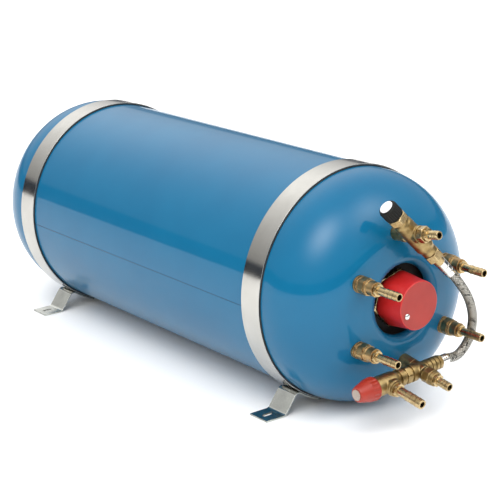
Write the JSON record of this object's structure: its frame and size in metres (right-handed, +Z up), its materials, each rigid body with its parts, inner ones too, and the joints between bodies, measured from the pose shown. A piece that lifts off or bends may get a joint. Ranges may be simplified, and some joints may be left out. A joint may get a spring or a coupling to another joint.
{
  "type": "horizontal hot water cylinder",
  "caption": "Horizontal insulated hot water tank on strap feet, with heating coil tails, immersion heater, mixing valve and relief valve on one end.",
  "frame": {"origin": "on the floor under the middle of the whole object's box", "axes": "+X along the tank towards the end with the fittings, +Y to the side away from the mixing valve's knob, +Z up"},
  "size_m": [1.1217, 0.4082, 0.4091],
  "materials": {
    "blue_paint": "glossy blue enamel on sheet steel",
    "foam": "rigid insulating foam, light and dull",
    "copper": "plain copper",
    "brass": "cast and turned brass",
    "steel": "polished stainless steel",
    "braid": "woven stainless wire braid",
    "red_plastic": "moulded plastic, satin",
    "red_cap": "moulded plastic, satin",
    "black_plastic": "ribbed moulded plastic",
    "white_plastic": "moulded plastic",
    "rubber": "dull black rubber"
  },
  "bodies": {
    "tank": {"jacket": "blue_paint", "insulation": "foam", "inner_vessel": "copper", "coil_outer": "copper", "coil_inner": "copper", "heater_boss": "copper", "heater_gasket": "rubber", "heater_head": "brass", "heater_element": "copper", "thermostat_pocket": "copper", "thermostat_body": "white_plastic", "terminal_block": "black_plastic", "mixer_nipple": "brass", "mixer_body": "brass", "mixer_bonnet": "brass", "mixer_outlet_nut": "brass", "mixer_outlet_tail": "brass", "hose_nut_upper": "brass", "hose_ferrule_upper": "steel", "braided_hose": "braid", "hose_adapter_lower": "brass", "cold_nipple": "brass", "cold_cross": "brass", "check_valve_body": "brass", "check_valve_spring": "steel", "cold_inlet_tail": "brass", "relief_adapter": "brass", "relief_body": "brass", "relief_spring": "steel", "discharge_tail": "brass", "coil_union_left_upper": "brass", "coil_tail_left_upper": "brass", "coil_union_left_lower": "brass", "coil_tail_left_lower": "brass", "coil_union_right_upper": "brass", "coil_tail_right_upper": "brass", "coil_union_right_lower": "brass", "coil_tail_right_lower": "brass", "strap_left": "steel", "strap_liner_left": "rubber", "strap_bolt_left": "steel", "foot_left_front": "steel", "foot_left_back": "steel", "strap_right": "steel", "strap_liner_right": "rubber", "strap_bolt_right": "steel", "foot_right_front": "steel", "foot_right_back": "steel"},
    "mixer_knob": {"mixer_knob": "black_plastic", "mixer_knob_disc": "white_plastic", "mixer_spindle": "steel"},
    "mixer_piston": {"mixer_piston": "brass"},
    "relief_cap": {"relief_cap": "red_cap", "relief_cap_disc": "white_plastic"},
    "relief_stem": {"relief_stem": "brass"},
    "check_poppet": {"check_valve_poppet": "black_plastic"},
    "thermostat_dial": {"thermostat_dial": "red_plastic"},
    "heater_cover": {"heater_cover": "red_plastic", "cover_screw": "steel"}
  },
  "joints": [
    {"name": "mixer_knob_turn", "type": "hinge", "parent": "tank", "child": "mixer_knob", "pos_m": [0.47467, -0.016, 0.32742], "axis": [0.1249, 0.6947, -0.7084], "range_deg": [-135, 135]},
    {"name": "mixer_piston_slide", "type": "slide", "parent": "tank", "child": "mixer_piston", "axis": [0.1249, 0.6947, -0.7084], "range_m": [-0.0035, 0.0035]},
    {"name": "relief_cap_turn", "type": "hinge", "parent": "tank", "child": "relief_cap", "pos_m": [0.47827, 0.003, 0.09438], "axis": [-0.0103, -0.9976, -0.069], "range_deg": [0, 90]},
    {"name": "relief_stem_lift", "type": "slide", "parent": "tank", "child": "relief_stem", "axis": [-0.0103, -0.9976, -0.069], "range_m": [0, 0.002], "deforming": ["relief_spring"]},
    {"name": "check_valve_open", "type": "slide", "parent": "tank", "child": "check_poppet", "axis": [-0.989, 0, 0.1478], "range_m": [0, 0.004], "stiffness_N_per_m": 50, "deforming": ["check_valve_spring"]},
    {"name": "thermostat_dial_turn", "type": "hinge", "parent": "tank", "child": "thermostat_dial", "pos_m": [0.45, 0, 0.22], "axis": [1, 0, 0], "range_deg": [0, 270]},
    {"name": "heater_cover_off", "type": "slide", "parent": "tank", "child": "heater_cover", "axis": [1, 0, 0], "range_m": [0, 0.07]}
  ],
  "couplings": [
    {"joint": "mixer_knob_turn", "follows": "mixer_piston_slide", "rad_per_m": 673},
    {"joint": "relief_cap_turn", "follows": "relief_stem_lift", "rad_per_m": 785}
  ]
}
